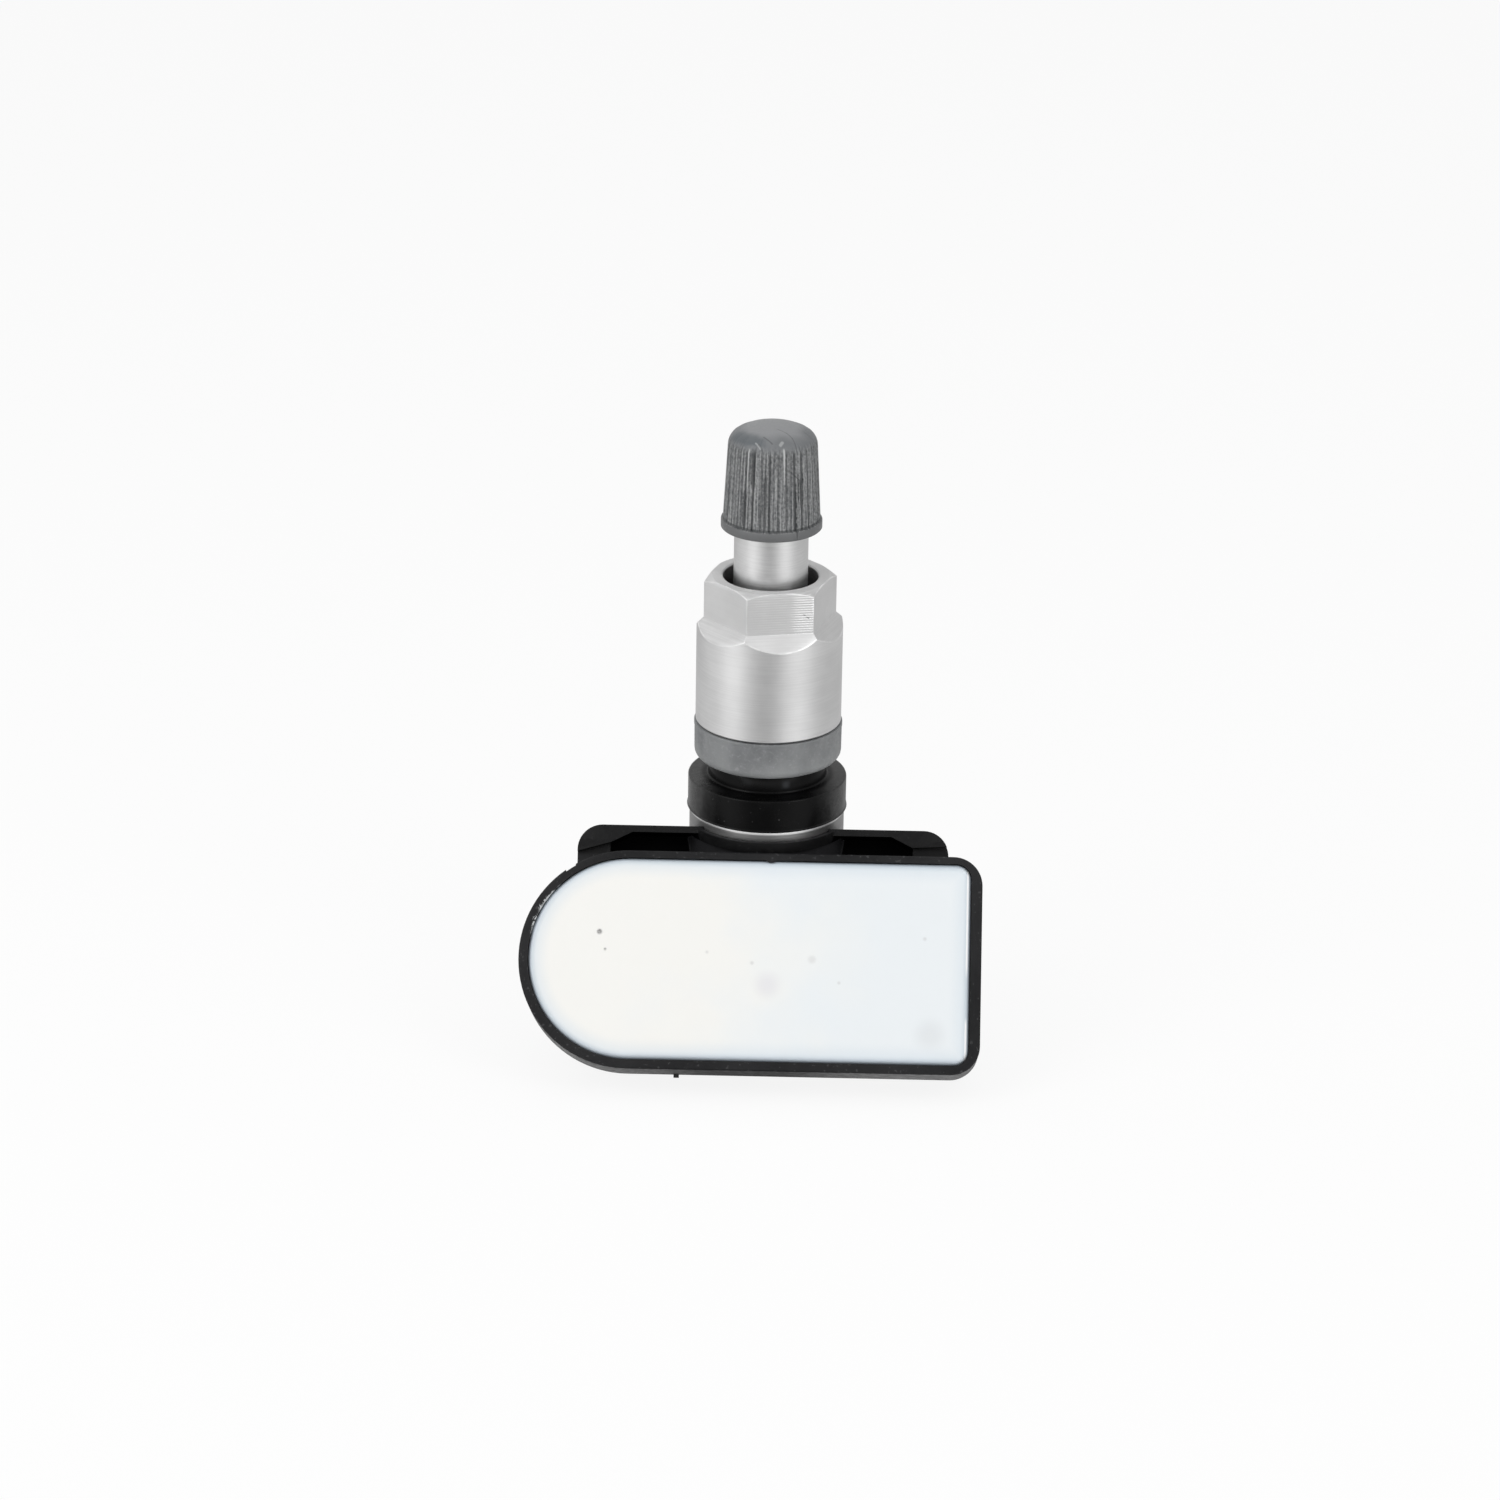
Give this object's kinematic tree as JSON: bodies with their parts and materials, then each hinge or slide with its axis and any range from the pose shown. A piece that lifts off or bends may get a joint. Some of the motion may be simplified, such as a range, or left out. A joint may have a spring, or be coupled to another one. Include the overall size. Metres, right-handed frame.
{
  "type": "tyre pressure sensor",
  "caption": "Clamp-in wheel valve that carries a leaning D-shaped sensor housing filled with white potting, with collar nut, sliding washer, rubber grommet and ribbed dust cap.",
  "frame": {"origin": "centre of the rubber flange's top face, where the wheel rim seats, on the stem's axis", "axes": "+Z along the stem towards its cap, -Y the way the potted face looks, +X to the right of that face"},
  "size_m": [0.0475, 0.0289, 0.0665],
  "materials": {
    "turned_aluminium": "satin turned",
    "nut_aluminium": "satin turned and milled",
    "black_rubber": "smooth moulded",
    "washer_plastic": "scuffed matte",
    "cap_plastic": "satin moulded",
    "seal_rubber": "smooth moulded",
    "core_brass": "bright turned",
    "spring_steel": "drawn wire",
    "screw_steel": "zinc plated",
    "housing_plastic": "glass-filled moulded",
    "potting_resin": "poured and cured",
    "cell_steel": "nickel plated",
    "board_laminate": "solder mask",
    "tab_nickel": "bright strip",
    "chip_plastic": "moulded",
    "coil_ferrite": "sintered",
    "winding_copper": "enamelled wire",
    "capacitor_ceramic": "fired ceramic"
  },
  "bodies": {
    "sensor_body": {"valve_stem": "turned_aluminium", "rubber_grommet": "black_rubber", "core_barrel": "core_brass", "core_seal": "seal_rubber", "fixing_screw": "screw_steel", "housing": "housing_plastic", "potting": "potting_resin", "battery_cell": "cell_steel", "circuit_board": "board_laminate", "battery_tab_positive": "tab_nickel", "battery_tab_negative": "tab_nickel", "sensor_chip": "chip_plastic", "port_gasket": "seal_rubber", "coil_core": "coil_ferrite", "coil_winding": "winding_copper", "antenna_strip": "tab_nickel", "crystal": "cell_steel", "capacitors": "capacitor_ceramic", "resistors": "chip_plastic"},
    "washer": {"nut_washer": "washer_plastic"},
    "nut": {"collar_nut": "nut_aluminium"},
    "seal": {"cap_seal": "seal_rubber"},
    "cap": {"valve_cap": "cap_plastic"},
    "core": {"core_pin": "core_brass", "core_cup": "seal_rubber", "core_spring": "spring_steel"}
  },
  "joints": [
    {"name": "nut_travel", "type": "slide", "parent": "sensor_body", "child": "washer", "axis": [0, 0, 1], "range_m": [0, 0.0048]},
    {"name": "nut_turn", "type": "hinge", "parent": "washer", "child": "nut", "pos_m": [0, 0, 0], "axis": [0, 0, 1], "range_deg": [0, 1729]},
    {"name": "cap_travel", "type": "slide", "parent": "sensor_body", "child": "seal", "axis": [0, 0, 1], "range_m": [0, 0.01]},
    {"name": "cap_turn", "type": "hinge", "parent": "seal", "child": "cap", "pos_m": [0, 0, 0], "axis": [0, 0, 1], "range_deg": [0, 4535]},
    {"name": "core_press", "type": "slide", "parent": "sensor_body", "child": "core", "axis": [0, 0, -1], "range_m": [0, 0.0015], "stiffness_N_per_m": 400, "springref_m": -0.002, "deforming": ["core_spring"]}
  ],
  "couplings": [
    {"joint": "nut_turn", "follows": "nut_travel", "rad_per_m": 6283.2},
    {"joint": "cap_turn", "follows": "cap_travel", "rad_per_m": 7913.3}
  ]
}
